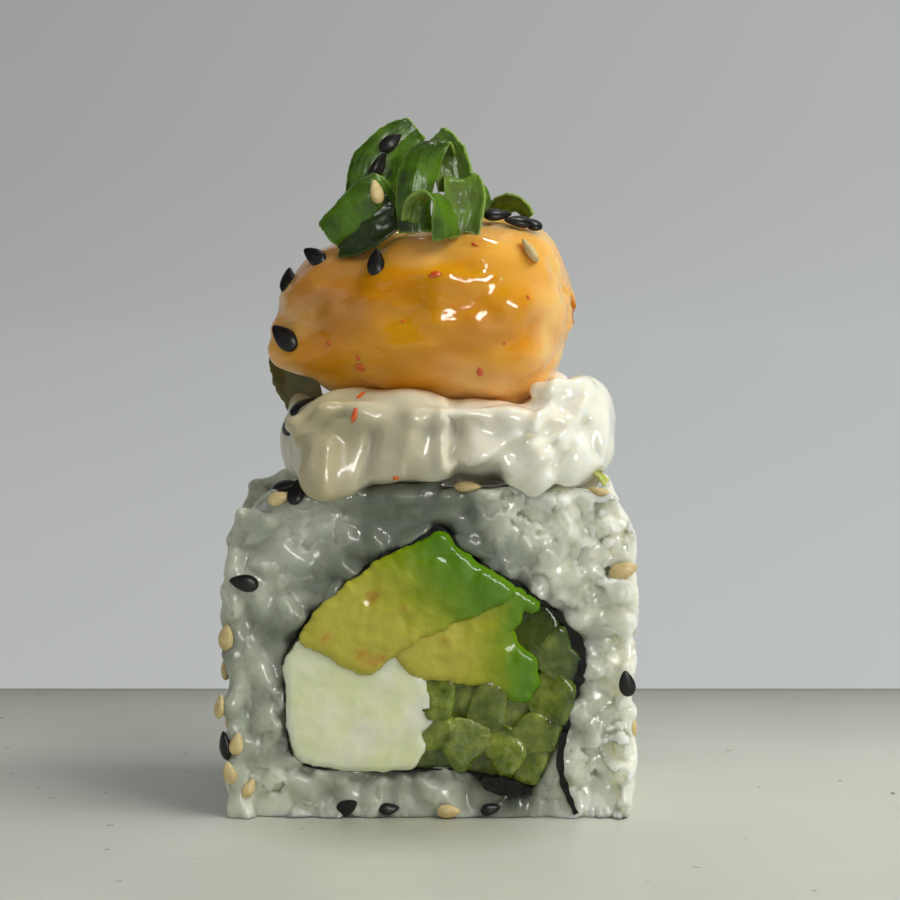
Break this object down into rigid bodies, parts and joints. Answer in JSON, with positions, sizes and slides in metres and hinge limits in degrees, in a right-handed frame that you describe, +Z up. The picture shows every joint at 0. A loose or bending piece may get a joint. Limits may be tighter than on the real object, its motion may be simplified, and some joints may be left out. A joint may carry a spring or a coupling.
{
  "type": "uramaki roll",
  "caption": "Slice of inside-out sushi roll on a small white board, filled with avocado, cream cheese and cucumber, topped with cream sauce, a fried prawn in orange sauce and spring onion.",
  "frame": {"origin": "centre of the board's underside, on the surface that it stands on", "axes": "+X along the board's long side and across the roll's cut face, +Y from the front cut to the rear cut, +Z up"},
  "size_m": [0.14, 0.1, 0.0812],
  "materials": {
    "board_plastic": "satin white plastic with fine knife marks",
    "rice": "moist cooked rice with sesame",
    "nori": "dark green pressed seaweed",
    "cream_cheese": "smooth and moist",
    "avocado": "moist flesh, yellow to green",
    "cucumber": "wet translucent flesh",
    "cream_sauce": "wet white sauce",
    "fried_prawn": "wet orange sauce over batter",
    "spring_onion": "ribbed leaf"
  },
  "bodies": {
    "root": {"board": "board_plastic", "rice": "rice", "nori": "nori", "cream_cheese": "cream_cheese", "avocado_upper": "avocado", "avocado_lower": "avocado", "cucumber_01": "cucumber", "cucumber_02": "cucumber", "cucumber_03": "cucumber", "cucumber_04": "cucumber", "cucumber_05": "cucumber", "cucumber_06": "cucumber", "cucumber_07": "cucumber", "cucumber_08": "cucumber", "cucumber_09": "cucumber", "cucumber_10": "cucumber", "cucumber_11": "cucumber", "cucumber_12": "cucumber", "cucumber_13": "cucumber", "cucumber_14": "cucumber", "cream": "cream_sauce", "prawn": "fried_prawn", "onion_left": "spring_onion", "onion_back": "spring_onion", "onion_middle": "spring_onion", "onion_right": "spring_onion", "onion_front": "spring_onion", "onion_arch": "spring_onion", "onion_ring": "spring_onion", "onion_flake": "spring_onion", "onion_side": "spring_onion", "onion_white": "spring_onion"}
  },
  "joints": []
}
